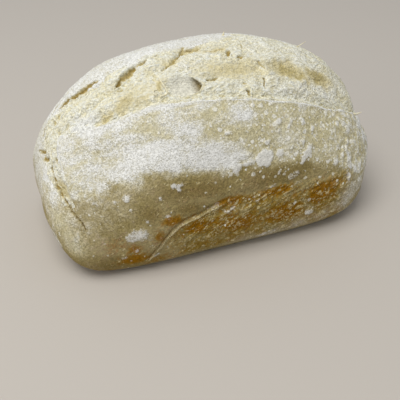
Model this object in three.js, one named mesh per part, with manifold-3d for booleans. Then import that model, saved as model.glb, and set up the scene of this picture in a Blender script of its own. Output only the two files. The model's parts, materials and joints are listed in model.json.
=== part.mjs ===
// A sourdough loaf baked in a tin: a floury crust that has torn open along the top and down one end.
// Millimetres, +Z up. The loaf lies along X with its front towards -Y and rests on Z = 0.
import * as THREE from "three";
import { mergeVertices } from "three/addons/utils/BufferGeometryUtils.js";
import { ImprovedNoise } from "three/addons/math/ImprovedNoise.js";
import Module from "manifold-3d";

const { clamp, lerp, smoothstep } = THREE.MathUtils;

// Overall sizes
const LENGTH = 211;
const WIDTH = 113;
const HEIGHT = 112;
const WIDEST_LEVEL = 33;
const FOOT_CUT = 4.5;
const CROWN_SHIFT = 6;

// Form of the body: a rounded oblong at the foot that turns slowly into an oval dome
const FOOT_SQUARENESS = 5.8;
const DOME_SQUARENESS = 2;
const ROUNDING_SPAN = [-1, 0.9];
const DOME_POWER = 2.5;
const FOOT_POWER = 5.4;
const FOOT_TAPER = 0.085;

// Grid that is drawn over the body
const CELLS_ALONG = 56;
const CELLS_ACROSS = 32;
const CELLS_UP = 19;
const CELLS_BELOW_WIDEST = 4;
const LIP_ROW = 3;
const SPLIT_FINENESS = 0.6;
const END_MIDDLE = [0.3, 0.6];
const LIP_GIRTHS = [-1.6, 0];
const LIP_HALVINGS = 24;
const LIP_CROWDING = 0.25;
const LIP_CROWDING_REACH = 0.12;

// The split. Its map runs along X on the top and then down the left end below END_LEVEL.
const END_LEVEL = 80;
// Edge of the front crust, as places along the split and the Y of the edge there
const LIP_ALONG = [-125, -119, -112, -104, -96, -88, -75, -60, -35, 0, 35, 65, 95];
const LIP_Y = [-46, -38.5, -32, -26.5, -19, -14, -19.7, -24.7, -27.4, -32.4, -34.5, -32, -26];
// Edge of the back crust
const BACK_ALONG = [-124, -121.5, -117.5, -110.5, -104, -84, -60, -40, -24, -5, 10, 20, 31, 60, 95];
const BACK_Y = [-44, -35, -22, -13, 0, 4, 1.5, 2, 7, 7, 9, 12, 16, 16, 2];
const LIP_RISE = 0.8;
const LIP_RISE_WIDTH = 8;
const LIP_DROP = 2.2;
const LIP_DROP_WIDTH = 7;
const LIP_OVERHANG = 1.2;
const LIP_OVERHANG_WIDTH = 2.5;
const LIP_OVERHANG_START = [-84, -66];
const END_LIP_SOFTNESS = 3;
const LIP_SOFTNESS = 0.02;
const LIP_END = 104;
const LIP_END_FADE = 12;
const SPLIT_EDGE = 4;
const SPLIT_LEVELS = [38, 52];
const CRUMB_STREAK = 1.3;
const CRUMB_STREAK_WIDTH = 4.5;
const CRUMB_STREAK_STRETCH = 0.3;
const CRUMB_LUMP = 0.9;
const CRUMB_LUMP_WIDTH = 9;
const CRUMB_LUMP_STRETCH = 0.7;
const CRUMB_LEDGE = 1.7;
const CRUMB_LEDGE_STEP = 9;
const CRUMB_LEDGE_BEND = 1.3;
const CRUMB_LEDGE_BEND_LENGTH = 14;
const HOLLOW_SMOOTHNESS = 0.8;

// Tears in the crumb and at the crust's edges: ends on the split's map, half width and depth.
// A negative depth is a raised edge.
const TEARS = [
  { from: [-84, 4], to: [-60, 1], width: 2.3, depth: 3 },
  { from: [-51.5, -8.5], to: [-40.5, -1.5], width: 2.8, depth: 5 },
  { from: [-37, 0.5], to: [-24, 6.5], width: 1.9, depth: 2 },
  { from: [-25, -8], to: [-10, 3.5], width: 2.5, depth: 2.6 },
  { from: [-9, 4.5], to: [-1, 4], width: 2.6, depth: 3.4 },
  { from: [5, 6], to: [15, -4], width: 2.4, depth: 2.2 },
  { from: [15, -6], to: [23, -10.5], width: 2.2, depth: 2 },
  { from: [31, -14], to: [30, -27], width: 2.2, depth: 2.4 },
  { from: [-3, -20.5], to: [4, -21.5], width: 1.8, depth: 2.2 },
  { from: [-86, 1], to: [-102, 1], width: 2.4, depth: 1.5 },
  { from: [-109, -1], to: [-109.5, -3.5], width: 3.2, depth: 3 },
  { from: [-108.5, -9.5], to: [-109, -12], width: 3, depth: 2.6 },
  { from: [-111, -22], to: [-120, -35], width: 3.4, depth: 3.6 },
  { from: [-120, -37], to: [-122, -45], width: 3, depth: 1.4 },
  { from: [-114, 12], to: [-114.5, -13], width: 4, depth: -0.6 },
];

// Burst bubbles and smooth stretched hollows: centre on the map, half sizes and depth
const HOLLOWS = [
  { at: [-17.8, -22], size: [11, 5.6], depth: 3.2 },
  { at: [18, -18], size: [20, 7], depth: 1.8 },
  { at: [48.5, -17.5], size: [13, 7.5], depth: 3 },
  { at: [69, -20.5], size: [11, 5.5], depth: 2 },
  { at: [-38, -13], size: [12, 7], depth: 1.6 },
];
const HOLLOW_FLOOR = 0.55;
const HOLLOW_RIM = 1.15;

// Fold in the lower front, as X and the height of the crease there
const FOLD_X = [-53, -44, -36, -20, -6, 15, 40, 60];
const FOLD_Z = [9, 21.5, 32, 38.8, 44, 46.2, 45, 42];
const FOLD_STEP = 1.1;
const FOLD_GROOVE = 1.5;
const FOLD_WIDTH = 4;
const FOLD_FADE = [-5, 55];

// Places where the loaf swells or sinks: centre, reach and height
const SWELLINGS = [
  { at: [-50, 24, 103], reach: 13, height: 1.7 },
  { at: [66, 17, 100], reach: 16, height: -0.9 },
  { at: [101, -16, 61], reach: 9, height: -2.8 },
  { at: [106, -24, 38], reach: 11, height: 1.6 },
  { at: [-104, 19, 53], reach: 8, height: 1 },
];

// Unevenness of the crust
const CRUST_SWELL = 1.1;
const CRUST_SWELL_LENGTH = 32;
const CRUST_PUCKER = 0.45;
const CRUST_PUCKER_LENGTH = 9;
const END_PLEAT = 0.9;
const END_PLEAT_LENGTH = 8;
const END_PLEAT_STRETCH = 0.15;
const END_PLEAT_START = 72;
const FOOT_PLAIN = [0, 12];

const CRUST_COLOUR = 0xd8cfae;
const CRUST_ROUGHNESS = 0.92;

const NOISE_START = 11.37;
const perlin = new ImprovedNoise();

function noise(x, y, z, length) {
  return perlin.noise(x / length + NOISE_START, y / length + NOISE_START, z / length + NOISE_START);
}

function bump(distance, width) {
  return Math.exp(-((distance / width) ** 2));
}

function curve(places, values) {
  const interpolant = new THREE.CubicInterpolant(places, values, 1);
  const first = places[0];
  const last = places[places.length - 1];
  return (place) => interpolant.evaluate(clamp(place, first, last))[0];
}

const lipY = curve(LIP_ALONG, LIP_Y);
const backY = curve(BACK_ALONG, BACK_Y);
const foldZ = curve(FOLD_X, FOLD_Z);

// Place on the body for a point of the two-unit box
function bodyPoint(a, b, c) {
  const plan = lerp(FOOT_SQUARENESS, DOME_SQUARENESS, smoothstep(c, ...ROUNDING_SPAN));
  const power = c > 0 ? DOME_POWER : FOOT_POWER;
  const reach = (Math.abs(a) ** plan + Math.abs(b) ** plan) ** (1 / plan);
  const scale = (reach ** power + Math.abs(c) ** power) ** (-1 / power);
  const level = c * scale;
  const halfHeight = level > 0 ? HEIGHT - WIDEST_LEVEL : WIDEST_LEVEL + FOOT_CUT;
  const narrowing = 1 - FOOT_TAPER * Math.max(-level, 0);
  const x = a * scale * (LENGTH / 2) * narrowing;
  const y = b * scale * (WIDTH / 2) * narrowing + CROWN_SHIFT * Math.max(level, 0);
  return new THREE.Vector3(x, y, WIDEST_LEVEL + halfHeight * level);
}

// Place on the split's map: along the top, then down the left end
function alongSplit(point) {
  const down = point.x < 0 ? Math.max(END_LEVEL - point.z, 0) : 0;
  return point.x - down;
}

// Girth runs round the box from the front foot (-3) over the middle of the top (0) to the back foot (3)
function girthOf(b, c) {
  if (c >= Math.abs(b)) return b / c;
  const side = 2 - c / Math.abs(b);
  return Math.sign(b) * side;
}

function fromGirth(girth, ring) {
  if (Math.abs(girth) <= 1) return [girth * ring, ring];
  return [Math.sign(girth) * ring, (2 - Math.abs(girth)) * ring];
}

// Girth at which the front crust's edge crosses one section of the box, found by halving
function lipGirth(a, ring) {
  let [low, high] = LIP_GIRTHS;
  for (let step = 0; step < LIP_HALVINGS; step += 1) {
    const middle = (low + high) / 2;
    const [b, c] = fromGirth(middle, ring);
    const point = bodyPoint(a, b, c);
    if (point.y < lipY(point.x)) low = middle;
    else high = middle;
  }
  return low;
}

// Slides the grid round the loaf, so that one row of it follows the lip and the next ones crowd behind it
function slideToLip(a, b, c) {
  const ring = Math.max(Math.abs(b), Math.abs(c));
  const row = -1 + (2 * LIP_ROW) / CELLS_ACROSS;
  const girth = girthOf(b, c);
  if (girth < -2 || girth > 1 || c <= 0 || ring < END_MIDDLE[0]) return [b, c];
  const fade = smoothstep(ring, ...END_MIDDLE);
  const behind = girth - row;
  const shift = (lipGirth(a, ring) - row) * fade;
  if (behind <= 0) return fromGirth(girth + shift * (1 + behind / (2 + row)), ring);
  const share = behind / (1 - row);
  const crowd = LIP_CROWDING * bump(behind, LIP_CROWDING_REACH) + (1 - SPLIT_FINENESS) * (1 - share);
  return fromGirth(girth - behind * crowd * fade + shift * (1 - share), ring);
}

// More rows of the grid go to the dome than to the foot
function rowLevel(c) {
  const split = (2 * CELLS_BELOW_WIDEST) / CELLS_UP - 1;
  return c < split ? (c - split) / (1 + split) : (c - split) / (1 - split);
}

function lipStrength(along) {
  const right = 1 - smoothstep(along, LIP_END - LIP_END_FADE, LIP_END);
  const left = smoothstep(along, LIP_ALONG[0], LIP_ALONG[1]);
  return right * left;
}

// One inside the split, none on the crust
function splitShare(along, y) {
  const front = smoothstep(y, lipY(along), lipY(along) + SPLIT_EDGE);
  const back = smoothstep(backY(along) - y, 0, SPLIT_EDGE);
  return front * back;
}

function lipRelief(along, y) {
  const past = y - lipY(along);
  const softness = lerp(END_LIP_SOFTNESS, LIP_SOFTNESS, smoothstep(along, ...LIP_OVERHANG_START));
  const rise = LIP_RISE * bump(past, LIP_RISE_WIDTH);
  const drop = -LIP_DROP * bump(past, LIP_DROP_WIDTH);
  return lerp(rise, drop, smoothstep(past - softness, -softness, softness)) * lipStrength(along);
}

// One on a hollow's floor, none outside it
function hollowShare(hollow, along, y) {
  const out = Math.hypot((along - hollow.at[0]) / hollow.size[0], (y - hollow.at[1]) / hollow.size[1]);
  return 1 - smoothstep(out, HOLLOW_FLOOR, HOLLOW_RIM);
}

// Torn layers that step up towards the back
function ledgeRelief(along, y) {
  const bend = noise(along, y, LENGTH, CRUMB_LEDGE_BEND_LENGTH) * CRUMB_LEDGE_BEND;
  const layer = y / CRUMB_LEDGE_STEP + bend;
  return (Math.floor(layer) + 0.5 - layer) * CRUMB_LEDGE;
}

// Crumb drawn out in streaks along the loaf, with lumps and ledges between, and smoother in the hollows
function crumbRelief(along, y) {
  const streak = noise(along * CRUMB_STREAK_STRETCH, y, 0, CRUMB_STREAK_WIDTH) * CRUMB_STREAK;
  const lump = noise(along * CRUMB_LUMP_STRETCH, y, HEIGHT, CRUMB_LUMP_WIDTH) * CRUMB_LUMP;
  const hollow = Math.max(...HOLLOWS.map((each) => hollowShare(each, along, y)));
  const rough = splitShare(along, y) * (1 - HOLLOW_SMOOTHNESS * hollow);
  return (streak + lump + ledgeRelief(along, y)) * rough;
}

function tearRelief(along, y) {
  const here = new THREE.Vector3(along, y, 0);
  const nearest = new THREE.Vector3();
  let relief = 0;
  for (const tear of TEARS) {
    const line = new THREE.Line3(new THREE.Vector3(...tear.from, 0), new THREE.Vector3(...tear.to, 0));
    line.closestPointToPoint(here, true, nearest);
    relief -= tear.depth * bump(nearest.distanceTo(here), tear.width);
  }
  return relief;
}

function hollowRelief(along, y) {
  let relief = 0;
  for (const hollow of HOLLOWS) relief -= hollow.depth * hollowShare(hollow, along, y);
  return relief;
}

// The crust above the fold stands proud of the groove under it
function foldRelief(point) {
  if (point.y > 0 || point.x < FOLD_X[0]) return 0;
  const slope = foldZ(point.x + 1) - foldZ(point.x);
  const above = (point.z - foldZ(point.x)) / Math.hypot(1, slope);
  const fade = 1 - smoothstep(point.x, ...FOLD_FADE);
  const start = smoothstep(point.x, FOLD_X[0], FOLD_X[1]);
  const proud = above > 0 ? FOLD_STEP * bump(above, 3 * FOLD_WIDTH) : 0;
  const groove = -FOLD_GROOVE * bump(above + FOLD_WIDTH / 2, FOLD_WIDTH);
  return (proud + groove) * fade * start;
}

function swellingRelief(point) {
  let relief = 0;
  for (const { at, reach, height } of SWELLINGS) {
    relief += height * bump(point.distanceTo(new THREE.Vector3(...at)), reach);
  }
  return relief;
}

// Swellings and small puckers of the whole crust, and upright pleats round the right end
function crustRelief(point) {
  const swell = noise(point.x, point.y, point.z, CRUST_SWELL_LENGTH) * CRUST_SWELL + swellingRelief(point);
  const pucker = noise(point.x, point.y, point.z, CRUST_PUCKER_LENGTH) * CRUST_PUCKER;
  const end = smoothstep(point.x, END_PLEAT_START, LENGTH / 2);
  const pleat = noise(point.x, point.y, point.z * END_PLEAT_STRETCH, END_PLEAT_LENGTH) * END_PLEAT * end;
  return swell + pucker + pleat;
}

// How far the surface moves out at one place
function relief(point) {
  const crustOnly = (crustRelief(point) + foldRelief(point)) * smoothstep(point.z, ...FOOT_PLAIN);
  const onTop = smoothstep(point.z, ...SPLIT_LEVELS);
  if (onTop === 0) return crustOnly;
  const along = alongSplit(point);
  const torn = lipRelief(along, point.y) + crumbRelief(along, point.y)
    + tearRelief(along, point.y) + hollowRelief(along, point.y);
  return crustOnly + torn * onTop;
}

// How far the lip leans back over the split
function overhang(point) {
  const along = alongSplit(point);
  const lean = LIP_OVERHANG * bump(point.y - lipY(along), LIP_OVERHANG_WIDTH) * lipStrength(along);
  return lean * smoothstep(along, ...LIP_OVERHANG_START) * smoothstep(point.z, ...SPLIT_LEVELS);
}

function plainBody() {
  const geometry = new THREE.BoxGeometry(2, 2, 2, CELLS_ALONG, CELLS_ACROSS, CELLS_UP);
  const place = geometry.attributes.position;
  for (let i = 0; i < place.count; i += 1) {
    const a = place.getX(i);
    const [b, c] = slideToLip(a, place.getY(i), rowLevel(place.getZ(i)));
    const point = bodyPoint(a, b, c);
    place.setXYZ(i, point.x, point.y, point.z);
  }
  geometry.deleteAttribute("normal");
  geometry.deleteAttribute("uv");
  return mergeVertices(geometry, 1e-3);
}

function shapeCrust(geometry) {
  geometry.computeVertexNormals();
  const place = geometry.attributes.position;
  const outward = geometry.attributes.normal;
  const point = new THREE.Vector3();
  const normal = new THREE.Vector3();
  for (let i = 0; i < place.count; i += 1) {
    point.fromBufferAttribute(place, i);
    normal.fromBufferAttribute(outward, i);
    const lean = overhang(point);
    point.addScaledVector(normal, relief(point));
    place.setXYZ(i, point.x, point.y + lean, point.z);
  }
  geometry.deleteAttribute("normal");
}

// Puts the middle of the loaf's plan over the origin
function centre(geometry) {
  geometry.computeBoundingBox();
  const middle = geometry.boundingBox.getCenter(new THREE.Vector3());
  geometry.translate(-middle.x, -middle.y, 0);
}

function toManifold(wasm, geometry) {
  const merged = mergeVertices(geometry, 1e-4);
  const mesh = new wasm.Mesh({
    numProp: 3,
    vertProperties: new Float32Array(merged.attributes.position.array),
    triVerts: new Uint32Array(merged.index.array),
  });
  return new wasm.Manifold(mesh);
}

function fromManifold(solid) {
  const mesh = solid.getMesh();
  const geometry = new THREE.BufferGeometry();
  geometry.setAttribute("position", new THREE.BufferAttribute(new Float32Array(mesh.vertProperties), 3));
  geometry.setIndex(new THREE.BufferAttribute(new Uint32Array(mesh.triVerts), 1));
  geometry.computeVertexNormals();
  return geometry;
}

function bareBox(width, depth, height) {
  const box = new THREE.BoxGeometry(width, depth, height);
  box.deleteAttribute("normal");
  box.deleteAttribute("uv");
  return box;
}

// Cuts the foot flat at Z = 0
function cutFlat(wasm, geometry) {
  const below = bareBox(2 * LENGTH, 2 * WIDTH, HEIGHT);
  below.translate(0, 0, -HEIGHT / 2);
  const solid = toManifold(wasm, geometry).subtract(toManifold(wasm, below));
  return fromManifold(solid);
}

const wasm = await Module();
wasm.setup();

const shell = plainBody();
shapeCrust(shell);
centre(shell);
const crust = new THREE.MeshStandardMaterial({
  color: CRUST_COLOUR,
  roughness: CRUST_ROUGHNESS,
  metalness: 0,
});
const loaf = new THREE.Mesh(cutFlat(wasm, shell), crust);
loaf.name = "loaf";

const sourdoughLoaf = new THREE.Group();
sourdoughLoaf.name = "sourdough_loaf";
sourdoughLoaf.add(loaf);

export default sourdoughLoaf;
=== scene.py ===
import json
import math
import bpy
import numpy as np
from mathutils import Matrix, Vector, noise

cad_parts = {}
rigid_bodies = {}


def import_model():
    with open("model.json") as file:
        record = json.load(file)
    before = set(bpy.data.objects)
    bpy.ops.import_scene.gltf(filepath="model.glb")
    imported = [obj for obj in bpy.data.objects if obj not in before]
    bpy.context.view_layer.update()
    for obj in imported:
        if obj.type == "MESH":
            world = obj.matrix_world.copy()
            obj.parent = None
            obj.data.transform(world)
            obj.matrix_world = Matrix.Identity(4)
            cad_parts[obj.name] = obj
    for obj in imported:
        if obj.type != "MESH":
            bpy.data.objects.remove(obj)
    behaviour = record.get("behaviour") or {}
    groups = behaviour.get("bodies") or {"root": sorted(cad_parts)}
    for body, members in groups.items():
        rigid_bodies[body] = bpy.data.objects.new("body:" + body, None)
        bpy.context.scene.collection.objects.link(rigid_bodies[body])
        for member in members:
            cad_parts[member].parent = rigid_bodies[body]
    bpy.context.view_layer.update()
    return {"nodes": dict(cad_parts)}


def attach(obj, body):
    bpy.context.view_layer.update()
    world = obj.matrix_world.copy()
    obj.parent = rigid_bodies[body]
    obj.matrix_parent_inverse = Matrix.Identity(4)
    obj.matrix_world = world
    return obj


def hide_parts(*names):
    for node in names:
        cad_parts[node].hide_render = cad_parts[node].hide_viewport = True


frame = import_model()
print("frame loaded")

mm = 0.001

# sizes and places below are in millimetres, on the loaf as it stood before its plan was centred
centreShift = np.array((-0.38, -0.47, 0.0))

cameraSet = dict(
    azimuth=-17.9, elevation=34.6, roll=-1.52,
    distance=423.85, aimRight=-1.94, aimUp=-33.38, centre=(-0.38, -0.47, 45.0),
    lens=59.08, sensor=36.0,
)


def makeCamera(settings):
    turn = math.radians(settings["azimuth"])
    tilt = math.radians(settings["elevation"])
    back = Vector((math.sin(turn) * math.cos(tilt), -math.cos(turn) * math.cos(tilt), math.sin(tilt)))
    right = Vector((math.cos(turn), math.sin(turn), 0.0))
    up = back.cross(right)
    centre = Vector(settings["centre"])
    eye = centre + back * settings["distance"]
    aim = centre + right * settings["aimRight"] + up * settings["aimUp"]
    data = bpy.data.cameras.new("photoCamera")
    data.lens = settings["lens"]
    data.sensor_width = settings["sensor"]
    data.clip_start = 0.01
    camera = bpy.data.objects.new("photoCamera", data)
    bpy.context.collection.objects.link(camera)
    facing = (aim - eye).to_track_quat("-Z", "Y").to_matrix().to_4x4()
    roll = Matrix.Rotation(math.radians(settings["roll"]), 4, "Z")
    camera.matrix_world = Matrix.Translation(eye * mm) @ facing @ roll
    bpy.context.scene.camera = camera
    return camera


makeCamera(cameraSet)
print("camera placed")

# in metres and watts
lightSet = dict(
    aim=(0, 0, 0.05),
    key=dict(place=(-0.33, -0.22, 1.3), size=0.9, power=11.6, colour=(1.0, 0.985, 0.96)),
    fill=dict(place=(-1.1, -0.2, 0.42), size=0.7, power=1.9, colour=(1.0, 0.98, 0.95)),
    sky=dict(colour=(0.95, 0.97, 1.0), strength=0.42),
    floor=dict(colour=(0.54, 0.5, 0.45, 1.0), size=6.0, roughness=0.85),
)


def makeAreaLight(name, settings):
    data = bpy.data.lights.new(name, "AREA")
    data.shape = "DISK"
    data.size = settings["size"]
    data.energy = settings["power"]
    data.color = settings["colour"]
    lamp = bpy.data.objects.new(name, data)
    bpy.context.collection.objects.link(lamp)
    place = Vector(settings["place"])
    lamp.location = place
    lamp.rotation_euler = (Vector(lightSet["aim"]) - place).to_track_quat("-Z", "Y").to_euler()
    return lamp


def makeSky(settings):
    world = bpy.data.worlds.new("softSky")
    bpy.context.scene.world = world
    world.use_nodes = True
    sky = world.node_tree.nodes["Background"]
    sky.inputs["Color"].default_value = (*settings["colour"], 1.0)
    sky.inputs["Strength"].default_value = settings["strength"]


def makeFloor(settings):
    bpy.ops.object.select_all(action="DESELECT")
    bpy.ops.mesh.primitive_plane_add(size=settings["size"], location=(0, 0, 0))
    floor = bpy.context.active_object
    floor.name = "paleFloor"
    paint = bpy.data.materials.new("paleFloor")
    paint.use_nodes = True
    shader = paint.node_tree.nodes["Principled BSDF"]
    shader.inputs["Base Color"].default_value = settings["colour"]
    shader.inputs["Roughness"].default_value = settings["roughness"]
    floor.data.materials.append(paint)


makeAreaLight("keyLight", lightSet["key"])
makeAreaLight("leftFill", lightSet["fill"])
makeSky(lightSet["sky"])
bpy.context.scene.view_settings.view_transform = "Standard"
makeFloor(lightSet["floor"])
print("studio made")

# small tools for weights and meshes
weightSteps = 250
seedStep = 17.3  # how far apart two seeds lie in the noise
ridgeSharpness = 2.6
pushWays = {}  # for each piece, the directions of its pushes


def smooth(value, low, high):
    share = np.clip((value - low) / (high - low), 0.0, 1.0)
    return share * share * (3.0 - 2.0 * share)


def hill(distance, width):
    return np.exp(-(distance / width) ** 2)


def lineThrough(places, values):
    places = np.array(places, float)
    values = np.array(values, float)
    slopes = np.diff(values) / np.diff(places)
    tangents = np.concatenate((slopes[:1], (slopes[1:] + slopes[:-1]) / 2, slopes[-1:]))

    def at(place):
        inside = np.clip(place, places[0], places[-1])
        left = np.clip(np.searchsorted(places, inside) - 1, 0, len(places) - 2)
        span = places[left + 1] - places[left]
        t = (inside - places[left]) / span
        start = (2 * t ** 3 - 3 * t ** 2 + 1) * values[left]
        start += (t ** 3 - 2 * t ** 2 + t) * span * tangents[left]
        end = (3 * t ** 2 - 2 * t ** 3) * values[left + 1]
        end += (t ** 3 - t ** 2) * span * tangents[left + 1]
        return start + end
    return at


def cloud(points, size, seed, stretch=(1.0, 1.0, 1.0)):
    shifted = points * (np.array(stretch) / size) + seed * seedStep
    return np.array([noise.noise(Vector(point)) for point in shifted])


def ridged(points, size, seed, stretch=(1.0, 1.0, 1.0)):
    return np.clip(1.0 - ridgeSharpness * np.abs(cloud(points, size, seed, stretch)), 0.0, 1.0)


def activate(thing):
    bpy.ops.object.select_all(action="DESELECT")
    thing.select_set(True)
    bpy.context.view_layer.objects.active = thing


def markGroup(thing, name, weights):
    group = thing.vertex_groups.new(name=name)
    steps = np.round(np.clip(weights, 0.0, 1.0) * weightSteps).astype(int)
    order = np.argsort(steps, kind="stable")
    bounds = np.searchsorted(steps[order], np.arange(1, weightSteps + 2))
    for step in range(1, weightSteps + 1):
        same = order[bounds[step - 1]:bounds[step]]
        if len(same):
            group.add(same.tolist(), step / weightSteps, "REPLACE")


def meshPoints(thing):
    flat = np.empty(len(thing.data.vertices) * 3)
    thing.data.vertices.foreach_get("co", flat)
    return flat.reshape(-1, 3) / mm - centreShift


def meshNormals(thing):
    flat = np.empty(len(thing.data.vertices) * 3)
    thing.data.vertex_normals.foreach_get("vector", flat)
    return flat.reshape(-1, 3)


def edgeEnds(thing):
    flat = np.empty(len(thing.data.edges) * 2, dtype=int)
    thing.data.edges.foreach_get("vertices", flat)
    return flat.reshape(-1, 2).T


def neighbourSum(values, first, last):
    total = np.empty_like(values)
    for axis in range(3):
        total[:, axis] = np.bincount(first, values[last, axis], len(values))
        total[:, axis] += np.bincount(last, values[first, axis], len(values))
    return total


# directions that turn slowly, so that a push doesn't fold the surface at a crease
def evenNormals(thing, rounds):
    normals = meshNormals(thing)
    first, last = edgeEnds(thing)
    for step in range(rounds):
        total = normals + neighbourSum(normals, first, last)
        normals = total / np.linalg.norm(total, axis=1)[:, None]
    return normals


def pushOut(thing, name, weights, depth):
    markGroup(thing, name, weights)
    activate(thing)
    thing.data.normals_split_custom_set_from_vertices(pushWays[thing.name].tolist())
    push = thing.modifiers.new(name, "DISPLACE")
    push.vertex_group = name
    push.direction = "CUSTOM_NORMAL"
    push.mid_level = 0.0
    push.strength = depth * mm
    bpy.ops.object.modifier_apply(modifier=name)


def easeGroup(thing, name, rounds):
    activate(thing)
    ease = thing.modifiers.new("ease", "SMOOTH")
    ease.vertex_group = name
    ease.factor = 0.5
    ease.iterations = rounds
    bpy.ops.object.modifier_apply(modifier="ease")


def dropCustomNormals(thing):
    activate(thing)
    bpy.ops.mesh.customdata_custom_splitnormals_clear()


def triangleCount(thing):
    return sum(len(face.vertices) - 2 for face in thing.data.polygons)


def smoothFaces(thing, levels):
    activate(thing)
    finer = thing.modifiers.new("finer", "SUBSURF")
    finer.levels = levels
    finer.render_levels = levels
    bpy.ops.object.modifier_apply(modifier="finer")


# fewer faces where nothing can be seen
def thinHidden(thing, name, most):
    activate(thing)
    thin = thing.modifiers.new("thinHidden", "DECIMATE")
    thin.vertex_group = name
    thin.ratio = min(1.0, most / triangleCount(thing))
    bpy.ops.object.modifier_apply(modifier="thinHidden")


# how far each point lies below its surroundings, in millimetres
def hollowDepth(thing, rounds):
    points = meshPoints(thing)
    first, last = edgeEnds(thing)
    count = np.bincount(np.concatenate((first, last)), minlength=len(points))[:, None]
    even = points.copy()
    for step in range(rounds):
        even = 0.5 * even + 0.5 * neighbourSum(even, first, last) / count
    return np.sum((even - points) * meshNormals(thing), axis=1)


def keepMasks(thing, **masks):
    for name, values in masks.items():
        mask = thing.data.attributes.new(name, "FLOAT", "POINT")
        mask.data.foreach_set("value", np.clip(values, 0.0, 1.0).astype(np.float32))


# the split's map runs along the top and then down the left end
splitSet = dict(
    endLevel=80.0,
    lipAlong=(-125, -119, -112, -104, -96, -88, -75, -60, -35, -20, 0, 35, 65, 95),
    lipY=(-48, -41.3, -35, -28.5, -19.5, -14, -19.7, -24.7, -27.2, -30.4, -32.8, -34.4, -32, -26),
    backAlong=(-124, -121.5, -117.5, -110.5, -104, -84, -60, -40, -24, -5, 10, 20, 31, 60, 95),
    backY=(-44, -35, -22, -13, 0, 4, 1.5, 2, 7, 7, 9, 12, 16, 16, 2),
    lipCrease=0.75, backFade=8,
)
lipY = lineThrough(splitSet["lipAlong"], splitSet["lipY"])
backY = lineThrough(splitSet["backAlong"], splitSet["backY"])


def alongSplit(points):
    down = np.where(points[:, 0] < 0, np.maximum(splitSet["endLevel"] - points[:, 2], 0.0), 0.0)
    return points[:, 0] - down


def pastLip(points):
    return points[:, 1] - lipY(alongSplit(points))


# the stretch of the front crust's lip that stands proud
def lipReach(points):
    return smooth(points[:, 0], -78, -66) * smooth(points[:, 2], 50, 60)


def loafBlank():
    node = frame["nodes"]["loaf"]
    loaf = bpy.data.objects.new("loafCrust", node.data.copy())
    bpy.context.collection.objects.link(loaf)
    loaf.data.materials.clear()
    activate(loaf)
    bpy.ops.object.mode_set(mode="EDIT")
    bpy.ops.mesh.select_all(action="SELECT")
    bpy.ops.mesh.remove_doubles(threshold=1e-5)
    bpy.ops.mesh.customdata_custom_splitnormals_clear()
    bpy.ops.mesh.select_all(action="DESELECT")
    bpy.ops.object.mode_set(mode="OBJECT")
    for face in loaf.data.polygons:  # the flat foot is filled again after smoothing
        face.select = face.normal.z < -0.99 and face.center.z < 0.05 * mm
    bpy.ops.object.mode_set(mode="EDIT")
    bpy.ops.mesh.delete(type="FACE")
    bpy.ops.mesh.select_all(action="SELECT")
    widest = math.radians(70)
    bpy.ops.mesh.tris_convert_to_quads(face_threshold=widest, shape_threshold=widest)
    bpy.ops.mesh.select_all(action="DESELECT")
    bpy.ops.object.mode_set(mode="OBJECT")
    return loaf


def sharpenLip(loaf):
    points = meshPoints(loaf)
    near = np.abs(pastLip(points) - 1.0) < 2.2
    near &= (points[:, 0] > -82) & (points[:, 0] < 96) & (points[:, 2] > 55)
    activate(loaf)
    bpy.ops.object.mode_set(mode="EDIT")
    bpy.ops.mesh.select_mode(type="EDGE")
    bpy.ops.mesh.select_all(action="DESELECT")
    bpy.ops.mesh.edges_select_sharp(sharpness=math.radians(35))
    bpy.ops.object.mode_set(mode="OBJECT")
    for edge in loaf.data.edges:
        first, last = edge.vertices
        run = points[last] - points[first]
        lengthwise = abs(run[0]) > 1.5 * abs(run[1])
        edge.select = bool(edge.select and near[first] and near[last] and lengthwise)
    bpy.ops.object.mode_set(mode="EDIT")
    bpy.ops.transform.edge_crease(value=splitSet["lipCrease"])
    bpy.ops.mesh.select_all(action="DESELECT")
    bpy.ops.object.mode_set(mode="OBJECT")


def refine(loaf):
    smoothFaces(loaf, levels=2)
    bpy.ops.object.mode_set(mode="EDIT")
    bpy.ops.mesh.select_mode(type="EDGE")
    bpy.ops.mesh.select_all(action="DESELECT")
    bpy.ops.mesh.select_non_manifold(
        extend=False, use_wire=False, use_boundary=True,
        use_multi_face=False, use_non_contiguous=False, use_verts=False,
    )
    for share in (0.95, 0.82, 0.6):  # rings across the open foot
        bpy.ops.mesh.extrude_edges_move()
        bpy.ops.transform.resize(value=(share, share, 1.0), center_override=(0, 0, 0))
    bpy.ops.mesh.edge_face_add()
    bpy.ops.mesh.select_mode(type="FACE")
    bpy.ops.mesh.poke()
    bpy.ops.mesh.select_all(action="DESELECT")
    bpy.ops.object.mode_set(mode="OBJECT")
    bpy.ops.object.shade_smooth()


# the torn strip on the left end starts even, and gets its pits with the crumb
def evenLeftStrip(loaf):
    points = meshPoints(loaf)
    strip = smooth(-alongSplit(points), 104, 107) * smooth(pastLip(points), 0, 3)
    strip *= smooth(points[:, 2], 50, 56) * smooth(-points[:, 0], 80, 86)
    markGroup(loaf, "leftStrip", strip)
    easeGroup(loaf, "leftStrip", rounds=60)


# the flaky skin low on the front has finer folds than the rest of the crust
def refineFlakySkin(loaf):
    points = meshPoints(loaf)
    x, y, z = points.T
    chosen = (x > -66) & (x < 93) & (y < -18) & (z > 2.5) & (z < foldZ(x) + 5)
    for face in loaf.data.polygons:
        face.select = all(chosen[index] for index in face.vertices)
    activate(loaf)
    bpy.ops.object.mode_set(mode="EDIT")
    bpy.ops.mesh.select_mode(type="FACE")
    bpy.ops.mesh.subdivide(number_cuts=1, smoothness=0.0)
    bpy.ops.mesh.select_all(action="DESELECT")
    bpy.ops.object.mode_set(mode="OBJECT")


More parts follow.
